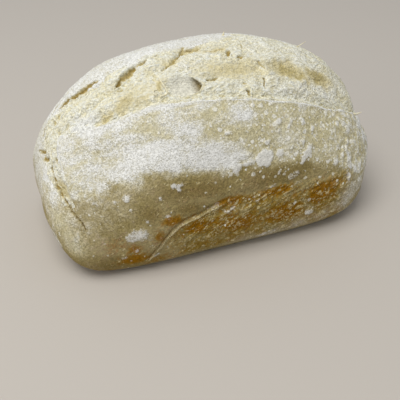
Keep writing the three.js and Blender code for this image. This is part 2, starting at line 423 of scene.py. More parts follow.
crustSet = dict(
    grain=0.42, grainSize=2.2,
    foldX=(-53, -44, -36, -20, -6, 15, 40, 60), foldZ=(9, 21.5, 32, 38.8, 44, 46.2, 45, 42),
    flowX=(-53, -36, -20, 0, 30, 60, 80), flowZ=(9, 27, 38, 47, 58, 67, 72),
    ridge=1.0, groove=1.3, pleat=1.1, wrinkle=0.9, skinFlake=0.45,
    covered=0.995, most=195000,
)
foldZ = lineThrough(crustSet["foldX"], crustSet["foldZ"])
flowZ = lineThrough(crustSet["flowX"], crustSet["flowZ"])

loaf = loafBlank()
sharpenLip(loaf)
refine(loaf)
evenLeftStrip(loaf)
refineFlakySkin(loaf)
pushWays[loaf.name] = evenNormals(loaf, rounds=10)
print("loaf blank refined:", len(loaf.data.polygons), "faces")

crumbSet = dict(
    bed=1.7, level=0.75, dive=0.9, wall=1.6, leastShare=0.001, most=193000,
    lipCrest=0.5, tearDepth=1.6, dipDepth=0.5, strandHeight=0.6,
    lump=0.45, lumpSize=8.0, flake=0.55, flakeSize=2.2,
    fibre=0.5, fibreSize=1.1, ledge=0.4, ledgeStep=3.2,
    bubble=dict(at=(-16.2, -20.4), size=(10.6, 4.6), turn=-13, fill=0.9, cave=2.8, rim=0.35),
)
# a tear's depth, then its way through (along, y, half width)
tears = (
    (0.9, (-60.1, 5.1, 0.4), (-65.5, 5.7, 0.8), (-69.8, 5.6, 0.8), (-73.5, 5.6, 0.7)),
    (0.8, (-73.5, 5.6, 0.7), (-77.3, 6.5, 0.6), (-81.2, 7.8, 0.5), (-84.3, 7.5, 0.4)),
    (0.6, (-103.5, 4.6, 0.4), (-98.1, 7.1, 0.4), (-89.7, 7.3, 0.4), (-86.7, 11.2, 0.45)),
    (0.6, (-86.7, 11.2, 0.45), (-81.8, 12.9, 0.5), (-76.8, 14.9, 0.45), (-70.6, 16.1, 0.3)),
    (1.0, (-38.9, 2.2, 0.6), (-41.2, 1.2, 1.1), (-44, -0.2, 1.2), (-46.7, -1.4, 1.0)),
    (1.0, (-46.7, -1.4, 1.0), (-49.3, -3.0, 0.7), (-51.2, -4.8, 0.3)),
    (0.65, (-36.8, 2.9, 0.6), (-34, 3.7, 0.9), (-31.1, 4.9, 0.5)),
    (0.5, (-26.7, 5.6, 0.5), (-23.5, 6.4, 0.6)),
    (0.45, (-24.8, -8, 0.4), (-21, -5.6, 0.8), (-17.5, -3.2, 0.7), (-12.6, 2.5, 0.5)),
    (0.5, (-12.6, 2.5, 0.5), (-8.2, 7.7, 0.6), (-3.6, 7.6, 0.8), (1.4, 6.7, 0.5)),
    (0.6, (-7.2, 10.5, 0.4), (-8.9, 5.6, 0.5)),
    (0.55, (6.3, 4.1, 0.5), (10.8, 2.8, 0.7), (15.5, 1.8, 0.7)),
    (0.9, (17.4, 0.1, 0.8), (15.7, -5.2, 0.6)),
    (0.7, (21.2, -7.6, 0.5), (24.6, -8.2, 0.4)),
    (0.45, (27.9, 4.7, 0.4), (26.6, 0.4, 0.3)),
    (0.45, (32.3, -12.3, 0.4), (33.7, -15.4, 0.4)),
    (0.6, (31.2, -22.3, 0.3), (30.7, -24.2, 0.4), (30.1, -26.2, 0.4)),
    (0.3, (-2, -19.4, 0.25), (1.2, -19.6, 0.4), (4.5, -19.6, 0.25)),
    (0.8, (19.2, -28.9, 0.7), (20, -29.2, 0.6)),
    (0.6, (18.6, -24, 0.5), (19.3, -24.3, 0.5)),
    (0.2, (66, -17.4, 0.4), (70, -17.8, 0.7), (76, -16.4, 0.4)),
    (0.35, (-85.5, 3.2, 0.8), (-86.1, 2.4, 0.8)),
    (0.35, (-88.5, 2.3, 0.8), (-89.1, 1.5, 0.8)),
    (0.35, (-84.4, -12.6, 0.8), (-85, -13.2, 0.8)),
    (0.4, (-93.8, -13.2, 0.8), (-94.4, -14, 0.8)),
    (0.4, (-101.6, -18.4, 0.9), (-102.2, -19.2, 0.8)),
    (1.0, (-114.5, 2.6, 0.7), (-110.8, -2.6, 1.0), (-107.2, -6.6, 0.8)),
    (1.0, (-112.2, -8.6, 1.0), (-108.2, -12.6, 1.0)),
    (0.5, (-101.9, 2.0, 0.6), (-102.7, 1.2, 0.6)),
    (0.7, (-110.1, -17.8, 0.6), (-110.9, -18.6, 0.6)),
    (0.6, (-114.6, -26.8, 0.3), (-113.4, -30.6, 0.35)),
    (1.0, (-114, -22.2, 0.8), (-114.8, -23.4, 0.7)),
    (1.0, (-117.6, -25.5, 0.9), (-118.4, -26.7, 0.8)),
    (0.9, (-117, -27.4, 0.6), (-117.4, -28.2, 0.6)),
    (1.0, (-118.5, -29.2, 0.7), (-119.3, -30.4, 0.6)),
    (1.0, (-119.8, -32.6, 0.7), (-120.5, -33.8, 0.6)),
    (0.6, (-108, -17, 0.4), (-112, -20, 0.5), (-116, -23.4, 0.4)),
    (0.85, (-120.6, -34.6, 0.5), (-121.8, -36.8, 0.5), (-122.1, -41.4, 0.5)),
    (0.85, (-122.1, -41.4, 0.5), (-124.2, -44.9, 0.6), (-125.6, -46.4, 0.3)),
)
# threads that lie on the crumb, written like the tears
laidThreads = (
    (1.0, (-28.7, -10.3, 0.6), (-27.6, -18, 0.7), (-26.8, -22.3, 0.7), (-25.5, -24.2, 0.5)),
    (1.0, (-33, -12, 0.4), (-30, -17, 0.5), (-29, -22, 0.5)),
    (1.0, (20, -23.5, 0.4), (21.5, -28, 0.5), (19.5, -33, 0.4)),
    (1.0, (62, -17.6, 0.5), (70, -18.2, 0.6), (77, -16.6, 0.5)),
)
# along, y, half length, half width, amount
dips = (
    (-51, -19.2, 7, 3.2, 0.75),
    (-39.6, -21, 7, 3.2, 0.5),
    (-62.6, -19.8, 4, 2.2, 0.85),
    (-41, -15, 16, 6, 0.32),
    (-28.9, -17, 2.6, 4, 0.85),
    (-60.2, 4.6, 5, 2.6, 0.65),
    (-115, -30, 5, 6, 0.85),
    (-18, -3.6, 6, 3, 0.65),
    (-3, 7.4, 8, 2.6, 0.85),
    (10, 2.8, 8, 2.6, 0.6),
    (15, -15.8, 19, 6, 0.68),
    (47.8, -15.2, 9.5, 4.4, 1.2),
    (70.5, -16, 12, 3.6, 1.0),
    (56, -18.5, 6, 3, 1.15),
)
sweptDips = (
    (-37, -17, 15, 7, 0.8),
    (6, -22, 20, 7, 0.7),
)
# dabs of flour on the crumb; the dabs on its right half are flour colour as painted light, brightening
# crumb that faces away from the lamps
# x, y, z, reach, amount
dustedCrumb = (
    (-73.7, -16.4, 90.2, 6, 0.5),
    (-68, -18.5, 92.5, 5, 0.4),
    (-79.4, -13, 88.4, 5, 0.5),
    (76, -24, 81, 6, 0.45),
    (-38, 4, 110, 9, 0.4),
    (-12, -9, 111, 9, 0.45),
    (34, 0, 109, 12, 0.35),
    (62, -4, 98, 15, 0.35),
    (66, -24, 90, 9, 0.3),
    (84, -12, 82, 12, 0.35),
    (52, -28.5, 92.4, 12, 0.35),
    (38, -31, 95, 8, 0.3),
)


def dabWeights(points, dabs):
    total = np.zeros(len(points))
    for x, y, z, reach, amount in dabs:
        away = np.linalg.norm(points - np.array((x, y, z), float), axis=1)
        total += amount * hill(away, reach)
    return total


def spotWeights(across, up, spots):
    total = np.zeros(len(across))
    for right, high, width, height, amount in spots:
        away = np.hypot((across - right) / width, (up - high) / height)
        total = np.maximum(total, amount * hill(away, 1.0))
    return total


def splitMap(points):
    return np.column_stack((alongSplit(points), points[:, 1], points[:, 2] * 0.4))


def crumbShare(points):
    along = alongSplit(points)
    wobble = cloud(points, 8.0, 1) + 0.5 * cloud(points, 3.0, 6)
    fade = 3.0 + splitSet["backFade"] * smooth(along, 5, 35)
    back = smooth(backY(along) + fade * (1.0 + wobble) - points[:, 1], 0.0, fade)
    return smooth(pastLip(points), -0.2, 1.2) * back * smooth(points[:, 2], 49, 54)


def runWeights(spots, runs, reach, soft):
    total = np.zeros(len(spots))
    for depth, *places in runs:
        for first, last in zip(places, places[1:]):
            start = np.array(first[:2])
            step = np.array(last[:2]) - start
            share = np.clip((spots - start) @ step / step.dot(step), 0, 1)
            away = np.linalg.norm(spots - start - share[:, None] * step, axis=1)
            width = first[2] + share * (last[2] - first[2])
            total = np.maximum(total, depth * smooth(width * reach - away, 0.0, width * soft))
    return total


def tearWeights(points):
    spots = splitMap(points)[:, :2]
    spots += 0.9 * np.column_stack((cloud(points, 2.6, 5), cloud(points, 2.2, 4)))
    return runWeights(spots, tears, 1.9, 1.6) * smooth(points[:, 2], 20, 26)


def dipWeights(points, spots):
    along = alongSplit(points) + 3.5 * cloud(points, 6.0, 14)
    across = points[:, 1] + 2.0 * cloud(points, 4.0, 15)
    return spotWeights(along, across, spots)


def bubbleParts(points):
    bubble = crumbSet["bubble"]
    turn = math.radians(bubble["turn"])
    across = alongSplit(points) - bubble["at"][0]
    upward = points[:, 1] - bubble["at"][1]
    right = (across * math.cos(turn) + upward * math.sin(turn)) / bubble["size"][0]
    up = (upward * math.cos(turn) - across * math.sin(turn)) / bubble["size"][1]
    away = np.hypot(right, up)
    wall = 0.62 + 0.26 * smooth(right, -0.3, 0.5)
    floor = 1.0 - smooth(away + 0.06 * cloud(points, 4.0, 19), wall, 1.02)
    cave = smooth(floor, 0.2, 0.9) * smooth(right + 0.1 * up, 0.3, 0.92)
    rim = hill(away - 1.08, 0.07) * smooth(np.abs(np.arctan2(up, right) + 0.8), 1.7, 0.9)
    # painted shade: the dark inside of the bubble's cave, under its right rim
    caveShade = smooth(floor, 0.05, 0.5) * smooth(right + 0.1 * up, 0.32, 0.85)
    return floor, cave, rim, caveShade


def crumbBlank(loaf):
    activate(loaf)
    bpy.ops.object.duplicate()
    crumb = bpy.context.active_object
    crumb.name = "tornCrumb"
    kept = crumbShare(meshPoints(crumb)) > crumbSet["leastShare"]
    for face in crumb.data.polygons:
        face.select = not any(kept[index] for index in face.vertices)
    bpy.ops.object.mode_set(mode="EDIT")
    bpy.ops.mesh.delete(type="FACE")
    bpy.ops.mesh.select_mode(type="VERT")
    bpy.ops.mesh.select_all(action="DESELECT")
    bpy.ops.object.mode_set(mode="OBJECT")
    dropSpecks(crumb)
    smoothFaces(crumb, levels=1)
    return crumb


# only what hangs together with the highest point is kept
def dropSpecks(crumb):
    top = int(np.argmax(meshPoints(crumb)[:, 2]))
    crumb.data.vertices[top].select = True
    bpy.ops.object.mode_set(mode="EDIT")
    bpy.ops.mesh.select_linked()
    bpy.ops.mesh.select_all(action="INVERT")
    bpy.ops.mesh.delete(type="VERT")
    bpy.ops.object.mode_set(mode="OBJECT")


# the crust and the crumb open at the same places
def openTears(thing, tear, floor, cave):
    pushOut(thing, "bubbleFloor", floor, crumbSet["bubble"]["fill"])
    pushOut(thing, "bubbleCave", cave, -crumbSet["bubble"]["cave"])
    pushOut(thing, "tears", tear, -crumbSet["tearDepth"])
    easeGroup(thing, "tears", rounds=2)


# the crust sinks below the crumb
def bedCrust(loaf):
    points = meshPoints(loaf)
    share = crumbShare(points)
    floor, cave = bubbleParts(points)[:2]
    tear = tearWeights(points) * (1 - floor)
    crest = lipReach(points) * hill(pastLip(points) + 0.2, 0.9)
    pushOut(loaf, "crumbBed", share, -crumbSet["bed"])
    pushOut(loaf, "lipCrest", crest, crumbSet["lipCrest"])
    openTears(loaf, tear, floor, cave)
    # hollows on the left end and the bubble's cave take the tears' inside colours: painted shade in
    # the pits
    pits = smooth(hollowDepth(loaf, rounds=20), 0.3, 1.0)
    pits *= smooth(-points[:, 0], 82, 88) * smooth(points[:, 2], 36, 42)
    return share, np.maximum.reduce((smooth(tear, 0.05, 0.4), cave, pits))


def crumbRelief(spots):
    warp = np.column_stack([cloud(spots, 5.0, seed) for seed in (11, 12, 13)])
    bent = spots + 1.6 * warp
    lump = np.clip(0.5 + cloud(bent, crumbSet["lumpSize"], 3, (0.6, 1.0, 1.0)), 0, 1)
    flake = ridged(bent, crumbSet["flakeSize"], 16, (0.5, 1.0, 1.0))
    fibre = ridged(bent, crumbSet["fibreSize"], 17, (0.4, 1.0, 1.0))
    # torn layers step up towards the back
    layer = bent[:, 1] / crumbSet["ledgeStep"] + 1.4 * cloud(spots, 9.0, 7, (0.5, 1.0, 1.0))
    ledge = 1.0 - (layer - np.floor(layer))
    ledge *= smooth(cloud(spots, 7.0, 9), -0.2, 0.3)
    relief = crumbSet["lump"] * lump + crumbSet["flake"] * flake
    relief += crumbSet["fibre"] * fibre + crumbSet["ledge"] * ledge
    # the low places of the relief, for painted shade in the crumb's hollows
    hollow = 1.0 - (0.45 * flake + 0.35 * fibre + 0.2 * lump + 0.25 * ledge)
    return relief, hollow


# golden around the tears and, as painted shade, where the crumb sinks; brown painted shade where it
# sinks deepest and in the tears' cores
def maskTears(crumb, tear, floor, rim):
    sunk = hollowDepth(crumb, rounds=60) * (1 - floor)
    halo = np.maximum(0.7 * smooth(tear, 0.0, 0.4), smooth(sunk, 0.12, 0.8))
    dark = np.maximum(smooth(sunk, 0.6, 1.5), 0.6 * smooth(tear, 0.5, 0.9))
    keepMasks(crumb, tear=np.maximum(halo, 0.6 * rim), dark=dark)


def roughenCrumb(crumb):
    points = meshPoints(crumb)
    spots = splitMap(points)
    share = crumbShare(points)
    dip = dipWeights(points, dips)
    swept = dipWeights(points, sweptDips)
    floor, cave, rim, caveShade = bubbleParts(points)
    tear = tearWeights(points) * (1 - floor)
    strand = runWeights(spots[:, :2], laidThreads, 1.4, 1.4)
    relief, hollow = crumbRelief(spots)
    rough = (1.0 - 0.65 * dip) * (1.0 - 0.4 * swept)
    rough *= (1.0 - floor) * (1.0 - 0.9 * smooth(tear, 0.05, 0.3))
    relief *= rough * (1.0 - 0.3 * smooth(points[:, 0], 10, 45))
    relief += crumbSet["strandHeight"] * strand
    pushOut(crumb, "level", share, -crumbSet["level"])
    pushOut(crumb, "dive", 1 - share, -crumbSet["dive"])
    pushOut(crumb, "dips", dip, -crumbSet["dipDepth"])
    openTears(crumb, tear, floor, cave)
    pushOut(crumb, "bubbleRim", rim, crumbSet["bubble"]["rim"])
    pushOut(crumb, "relief", relief / relief.max(), relief.max())
    maskTears(crumb, tear, floor, rim)
    hollow = np.maximum(hollow * rough, 0) * (1 - strand)
    flour = crumbFlour(points) * (1 - 0.85 * np.clip(dip, 0, 1))
    keepMasks(crumb, hollow=hollow, dip=dip, swept=swept, bubble=floor, cave=caveShade, flour=flour)


def closeCrumb(crumb):
    activate(crumb)
    slab = crumb.modifiers.new("slab", "SOLIDIFY")
    slab.thickness = crumbSet["wall"] * mm
    slab.offset = -1.0
    crumb.vertex_groups.new(name="inside")
    slab.shell_vertex_group = "inside"
    bpy.ops.object.modifier_apply(modifier="slab")
    thinHidden(crumb, "inside", crumbSet["most"])
    bpy.ops.object.shade_smooth()


def crumbFlour(points):
    left = -alongSplit(points)
    lipside = hill(pastLip(points) - 1.5, 2.5) * smooth(left, 20, 45) * smooth(points[:, 2], 60, 70)
    lipside *= np.clip(0.6 + cloud(points, 6.0, 18), 0, 1)
    endside = 0.12 * smooth(left, 92, 104)
    leftside = 0.12 * smooth(left, 50, 80)
    return 0.95 * lipside + endside + leftside + dabWeights(points, dustedCrumb)


crumb = crumbBlank(loaf)
pushWays[crumb.name] = evenNormals(crumb, rounds=20)
crumbed, torn = bedCrust(loaf)
roughenCrumb(crumb)
dropCustomNormals(crumb)
closeCrumb(crumb)
print("crumb torn:", len(crumb.data.polygons), "faces")

flourSet = dict(
    edgeAlong=(-105, -89, -67, -45, -23, -3, 20, 50, 67, 85, 100),
    edgeZ=(55, 57, 63, 68, 69, 67, 64, 57, 50, 36, 30),
    clumpHeight=0.55,
)
# x, z, half length, half height, turn, amount
clumps = (
    (21.2, 66.0, 5.4, 4.8, 10, 1.0),
    (3.4, 64.8, 3.5, 2.9, 0, 0.95),
    (11.4, 65.4, 5.2, 1.6, 6, 0.7),
    (7.5, 69.6, 7.5, 2.0, 0, 0.42),
    (49.2, 62.1, 5.8, 2.2, 38, 0.85),
    (45.3, 57.7, 1.7, 1.3, 0, 0.8),
    (31.4, 66.9, 2.8, 2.0, 0, 0.7),
    (69.2, 50.8, 2.3, 3.0, 0, 0.72),
    (79.0, 37.3, 2.4, 2.9, 0, 0.68),
    (80.1, 48.0, 2.0, 1.4, 0, 0.65),
    (38.9, 51.6, 4.6, 2.2, 8, 0.45),
    (51.8, 20.4, 3.0, 2.7, 0, 0.78),
    (22.1, 9.2, 6.8, 2.0, 16, 0.6),
    (29.9, 56.3, 1.2, 1.0, 0, 0.7),
    (-33.2, 61.0, 2.0, 1.8, 0, 0.95),
    (-29.4, 60.6, 1.8, 1.2, 0, 0.8),
    (-31.4, 58.6, 1.5, 1.4, 0, 0.85),
    (-60.6, 56.9, 2.6, 2.0, 0, 0.75),
    (-77.8, 55.0, 2.2, 1.5, 0, 0.5),
    (-66.2, 54.7, 2.0, 1.4, 0, 0.45),
    (-58.9, 50.2, 1.4, 1.0, 0, 0.62),
    (-42.3, 54.8, 1.2, 1.0, 0, 0.75),
    (-51.0, 41.8, 1.1, 0.9, 0, 0.65),
    (-39.5, 43.3, 2.8, 0.8, 20, 0.7),
    (-57.5, 32.8, 7, 4.4, 15, 0.72),
    (-50.6, 30.4, 3.2, 2.5, 0, 0.42),
    (-56.9, 22.4, 3.2, 1.0, 12, 0.78),
    (-51.5, 23.2, 2.2, 0.8, 14, 0.72),
    (-47.2, 14.3, 2.4, 1.1, 35, 0.78),
    (-66.0, 17.0, 2.6, 1.2, 30, 0.6),
    (-11.0, 43.0, 4.2, 1.0, 20, 0.35),
    (-2.5, 37.9, 3.8, 1.0, 12, 0.6),
    (16.4, 41.0, 3.4, 0.8, 14, 0.55),
    (24.9, 47.8, 4.0, 1.0, 18, 0.5),
    (40.2, 45.5, 4.4, 0.9, 10, 0.5),
    (33.0, 83.0, 2.0, 1.7, 0, 0.85),
    (41.0, 81.0, 1.5, 1.4, 0, 0.8),
    (49.0, 79.0, 1.5, 2.0, 0, 0.85),
    (39.0, 78.5, 1.3, 1.1, 0, 0.8),
    (47.0, 69.0, 1.6, 1.4, 0, 0.8),
    (24.0, 74.0, 1.6, 1.3, 0, 0.8),
    (1.0, 84.0, 2.2, 1.4, 0, 0.8),
    (55.0, 73.0, 1.5, 1.3, 0, 0.8),
    (39.0, 68.0, 1.5, 1.2, 0, 0.7),
)
# x, y, z, reach, amount
flourPatches = (
    (12, -39, 91, 7.5, 0.75),
    (51, -35, 85, 4.5, 0.65),
    (-23, -37, 92, 8, 0.2),
    (-16, -42, 86, 6, 0.25),
    (-42, -39, 83, 8, 0.1),
    (-73, -18, 90, 6, 0.6),
    (-63, -30, 85, 10, 0.12),
    (-53, -37, 81, 10, 0.15),
    (-33, -45, 77, 11, 0.2),
    (-11, -48, 74, 9, 0.3),
    (4, -50, 72, 6, 0.35),
    (98, -30, 51, 8, 0.6),
    (93, -30, 60, 5, 0.4),
    (12, -52, 6, 8, 0.2),
    (30, -52, 9, 8, 0.34),
    (46, -51, 12, 8, 0.3),
    (61, -50, 14, 8, 0.32),
    (78, -50, 19, 9, 0.5),
    (86, -46, 27, 9, 0.5),
    (-103, -27, 28.4, 2.6, 0.5),
    (-102, -29.2, 25, 2.6, 0.5),
    (-100.5, -32.8, 20.6, 3, 0.5),
    (94, -36, 30, 10, 0.35),
    (-101, -18, 58, 14, 0.15),
    (-80, -42, 38, 24, 0.08),
    (-98, -29.6, 52, 4, 0.36),
)
barePatches = (
    (-42, -35, 90, 5, 0.3),
    (-34, -39, 87, 5, 0.3),
    (-9, -42, 87, 4.5, 0.4),
    (8, -45, 81, 5.5, 0.36),
    (24, -43, 83, 7, 0.22),
    (53, -44, 70, 9, 0.2),
    (20, -36, 93, 4, 0.15),
    (-4, -37, 94, 4, 0.2),
    (-87, -31, 65, 6, 0.2),
)
palePatches = (
    (-97.5, -36, 41, 10, 0.75),
    (-93, -44.5, 27, 10, 0.8),
    (-101, -28, 46, 8, 0.3),
)
flourEdge = lineThrough(flourSet["edgeAlong"], flourSet["edgeZ"])


def clumpWeights(points):
    side = np.where(points[:, 1] < 0, points[:, 0], -points[:, 0])  # the back is dusted like the front
    x = side + 1.0 * cloud(points, 4.0, 21) + 0.5 * cloud(points, 1.8, 22)
    z = points[:, 2] + 1.0 * cloud(points, 4.0, 23) + 0.5 * cloud(points, 1.8, 24)
    total = np.zeros(len(points))
    for right, high, width, height, turn, amount in clumps:
        lean = math.radians(turn)
        across = x - right
        up = z - high
        u = (across * math.cos(lean) + up * math.sin(lean)) / width
        v = (up * math.cos(lean) - across * math.sin(lean)) / height
        soft = 0.9 / min(width, height)
        total = np.maximum(total, amount * smooth(1.0 + soft - np.hypot(u, v), 0.0, 2 * soft))
    return total * (np.abs(points[:, 1]) > 15)


def flourLevel(points):
    wander = 5.0 * cloud(points, 14.0, 25) + 2.5 * cloud(points, 5.0, 26)
    return points[:, 2] - flourEdge(points[:, 0]) + wander, wander


def frontFlour(x, level):
    thick = 0.61 - 0.33 * smooth(x, -20, 30)
    drift = 0.5 * (1 - smooth(x, -78, -30))
    flour = thick * (drift * smooth(level, -46, 0) + (1 - drift) * smooth(level, -6, 6))
    band = hill(level - 5, 5.5) * smooth(x, -85, -62) * (1 - smooth(x, 6, 20))
    return flour + 0.3 * band - 0.12 * smooth(level, 10, 18) * smooth(x, -75, -55)


def flourShare(points, crumbed, level, wander):
    x, y, z = points.T
    front = smooth(-y, 5, 20)
    behind = np.where(z > 80, 0.85, 0.16 + 0.5 * smooth(z + wander, 20, 62))
    flour = front * frontFlour(x, level) + (1 - front) * behind
    flour += 0.1 * smooth(z + wander, 14, 5)
    flour += dabWeights(points, flourPatches) - dabWeights(points, barePatches)
    # the dusting is smeared along the loaf
    smear = cloud(points, 5.0, 55, (0.28, 1.0, 1.0)) + 0.6 * cloud(points, 2.4, 56, (0.3, 1.0, 1.0))
    flour += 0.36 * smear * front * smooth(level, -6, 2) * (1 - 0.5 * smooth(x, 20, 50))
    # upright streaks on the low left corner
    streak = smooth(cloud(points, 3.0, 27, (1.0, 1.0, 0.15)), 0.0, 0.35)
    flour += 0.2 * streak * (1 - smooth(x, -92, -72)) * (1 - smooth(z, 35, 50))
    wide = 1 - smooth(x, -35, 0)
    lip = hill(pastLip(points) + 0.15 + 1.1 * wide, 0.8 + 1.3 * wide) * lipReach(points)
    return np.maximum(flour * (1 - 0.6 * crumbed), (0.95 + 0.15 * smooth(x, -10, 20)) * lip)


# x, z, half length, half height, amount
bakedSpots = (
    (-21.8, 30.7, 6, 5.5, 1.3),
    (4.5, 25.9, 9.5, 5.5, 1.3),
    (33.4, 25.4, 12, 6, 1.35),
    (58.5, 34, 9.5, 6.5, 1.3),
    (0.2, 44.5, 10, 3, 0.9),
    (30.1, 44.5, 10, 3.2, 0.9),
    (-36.5, 39.4, 6.5, 3.2, 1.1),
    (-45, 29.5, 4, 4.5, 0.75),
    (-59.9, 22.5, 5, 4.5, 0.8),
    (-60.4, 13.5, 9, 5, 1.15),
    (-46, 8, 12, 5, 0.55),
    (-80, 4, 14, 5, 0.5),
    (45, 38, 10, 4, 0.3),
    (-8, 31, 8, 5, 0.55),
    (-71, 28, 9, 8, 0.42),
)
shadedSpots = (
    (-20, 56, 32, 9, 1.0),
    (30, 54, 34, 9, 1.0),
    (-70, 12, 30, 10, 1.0),
    (-26, 45, 14, 6, 1.0),
    (-48, 46, 9, 7, 1.0),
)


def shadeShare(points):
    return spotWeights(points[:, 0], points[:, 2], shadedSpots) * (points[:, 1] < 0)


def bakeShare(points):
    baked = spotWeights(points[:, 0], points[:, 2], bakedSpots)
    behind = 0.55 * hill(points[:, 2] - 26, 16) * np.clip(0.5 + 1.6 * cloud(points, 18, 31), 0, 1)
    return np.where(points[:, 1] < 0, baked, behind)


def foldParts(points):
    x, y, z = points.T
    front = smooth(-y, 15, 30)
    above = z - foldZ(x) + 0.8 * cloud(points, 6, 41)
    run = smooth(x, -56, -50) * (1 - smooth(x, -14, 2)) * front
    below = front * smooth(-above, -3, 3) * smooth(z, 4, 11)
    below *= smooth(x, -50, -25) * (1 - smooth(x, 74, 90))
    flow = np.column_stack((x * 0.26, z - flowZ(x), y * 0.1))
    curl = np.column_stack([cloud(points, 5.0, seed) for seed in (51, 52, 53)])
    return dict(
        ridge=run * hill(above + 0.5, 0.8),
        groove=run * hill(above - 1.5, 1.1),
        below=below,
        wrinkle=cloud(flow, 2.0, 42) + 0.6 * cloud(flow, 1.1, 47),
        skin=ridged(flow + 0.8 * curl, 1.0, 49) * smooth(cloud(points, 6.0, 54), -0.3, 0.2),
    )


# upright pleats where the lip dives at the right end
def pleatParts(points, outside):
    x, y, z = points.T
    pleat = cloud(points, 2.4, 43, (1.0, 1.0, 0.13))
    pleated = smooth(x, 60, 80) * smooth(-y, 8, 22) * smooth(z, 26, 42) * outside
    return pleat, pleated


def shapeCrust(loaf, points, outside, clump, fold, pleats):
    z = points[:, 2]
    grain = cloud(points, crustSet["grainSize"], 44) + 0.6 * cloud(points, 1.2, 45)
    rough = outside * smooth(z, 1.0, 4.0) * (0.45 + 0.55 * smooth(z, 88, 104))
    wrinkles = fold["below"] * np.clip(0.5 + 1.3 * fold["wrinkle"], 0, 1)
    pushOut(loaf, "clumps", smooth(clump, 0.15, 0.75), flourSet["clumpHeight"])
    pushOut(loaf, "foldRidge", fold["ridge"], crustSet["ridge"])
    pushOut(loaf, "foldGroove", fold["groove"], -crustSet["groove"])
    pushOut(loaf, "wrinkles", wrinkles, crustSet["wrinkle"])
    pushOut(loaf, "skinFlakes", fold["below"] * fold["skin"], crustSet["skinFlake"])
    pushOut(loaf, "pleats", pleats, crustSet["pleat"])
    pushOut(loaf, "grain", rough * np.clip(0.5 + grain, 0, 1), crustSet["grain"])


def maskBaking(loaf, points, fold, baked):
    below = fold["below"]
    crest = below * smooth(fold["wrinkle"], 0.1, 0.45) * smooth(cloud(points, 5.0, 48), -0.25, 0.15)
    crest = np.maximum(crest, below * smooth(fold["skin"], 0.45, 0.85))
    golden = below * np.clip(0.7 + 0.7 * cloud(points, 9.0, 50), 0.2, 1)
    # baked spots and golden skin, with painted shade: the wrinkles' troughs and the fold's groove
    # darken towards the baked colour
    trough = below * smooth(-fold["wrinkle"], 0.02, 0.35)
    browned = baked * (1 - 0.3 * crest) + 0.25 * golden + 0.35 * fold["groove"] + 0.2 * trough
    # loose flakes on the wrinkle crests, and a painted highlight along the fold ridge
    flaky = np.maximum(0.75 * crest, 0.9 * fold["ridge"])
    golden += 0.8 * smooth(baked, 0.1, 0.7)
    keepMasks(loaf, bake=browned, golden=golden, shade=shadeShare(points), flaky=flaky)


def maskFlour(loaf, points, bare, flour, below, level, wander):
    x, y, z = points.T
    pale = np.where(y < 0, smooth(level, -9, 5), smooth(z + wander, 35, 70))
    pale += dabWeights(points, palePatches)
    right = smooth(x, -25, 20)
    specks = 0.03 + 0.8 * right * smooth(level, -14, 4) + 0.15 * smooth(level, -4, 6)
    specks += 0.3 * smooth(y, 5, 25) * (1 - right) * smooth(z, 25, 45)
    flecks = 0.5 * below + 0.3 * smooth(x, 60, 85) * (1 - smooth(z, 30, 55)) + 0.05
    flecks *= bare * (1 - 0.6 * smooth(flour, 0.2, 0.5))
    keepMasks(loaf, flour=flour, pale=pale, speck=specks * bare, fleck=flecks)


def finishCrust(loaf, crumbed, torn):
    points = meshPoints(loaf)
    outside = 1 - crumbed
    clump = clumpWeights(points) * outside
    fold = foldParts(points)
    pleat, pleated = pleatParts(points, outside)
    shapeCrust(loaf, points, outside, clump, fold, pleated * np.clip(0.5 + 1.3 * pleat, 0, 1))
    baked = bakeShare(points)
    level, wander = flourLevel(points)
    # the fold ridge gets a little flour colour as well: painted highlight
    flour = flourShare(points, crumbed, level, wander) + 0.2 * fold["ridge"]
    flour += pleated * (0.5 * smooth(pleat, 0.05, 0.35) - 0.25 * smooth(-pleat, 0.0, 0.3))
    flour *= (1 - torn) * (1 - 0.8 * smooth(baked, 0.3, 0.9))
    # painted shadow: near-black in the torn places low on the left end
    crack = torn * (1 - 0.75 * smooth(points[:, 2], 56, 66))
    keepMasks(loaf, crumb=crumbed, tear=torn, crack=crack, clump=clump * (1 - torn))
    maskBaking(loaf, points, fold, baked)
    maskFlour(loaf, points, outside * (1 - torn), flour, fold["below"], level, wander)


finishCrust(loaf, crumbed, torn)
dropCustomNormals(loaf)
markGroup(loaf, "underCrumb", (crumbed > crustSet["covered"]).astype(float))
thinHidden(loaf, "underCrumb", crustSet["most"])
print("crust finished")

# among the crust's colours, shade is painted shade, the near-black for the cracks is painted shadow,
# baked also stands for painted shade in the fold's groove and the wrinkles' troughs, and flake also
# for a painted highlight on the fold ridge
paintSet = dict(
    olive=(0.41, 0.338, 0.165, 1), oliveDark=(0.33, 0.265, 0.112, 1), shade=(0.225, 0.163, 0.055, 1),
    tan=(0.645, 0.6, 0.4, 1), tanDark=(0.54, 0.48, 0.28, 1), gold=(0.31, 0.2, 0.027, 1),
    baked=(0.29, 0.135, 0.004, 1), crack=(0.2, 0.15, 0.065, 1), flake=(0.6, 0.51, 0.28, 1),
    flour=(0.835, 0.835, 0.805, 1), veil=(0.8, 0.785, 0.69, 1), speck=(0.86, 0.84, 0.74, 1),
    roughness=0.9,
)
# among the crumb's colours, middle and low are painted shade for its hollows, dip is partly painted
# shade, and the brown for deep tears and the dark brown for the bubble's cave are painted shade
crumbPaint = dict(
    light=(0.885, 0.89, 0.8, 1), middle=(0.79, 0.76, 0.6, 1), low=(0.63, 0.56, 0.34, 1),
    patch=(0.76, 0.705, 0.47, 1), gold=(0.6, 0.51, 0.26, 1), sweep=(0.71, 0.625, 0.36, 1),
    dip=(0.5, 0.415, 0.18, 1), deep=(0.4, 0.295, 0.1, 1),
    bubble=(0.75, 0.725, 0.61, 1), cave=(0.25, 0.19, 0.075, 1),
    flour=(0.84, 0.84, 0.8, 1), roughness=0.9,
)
dryShine = 0.04


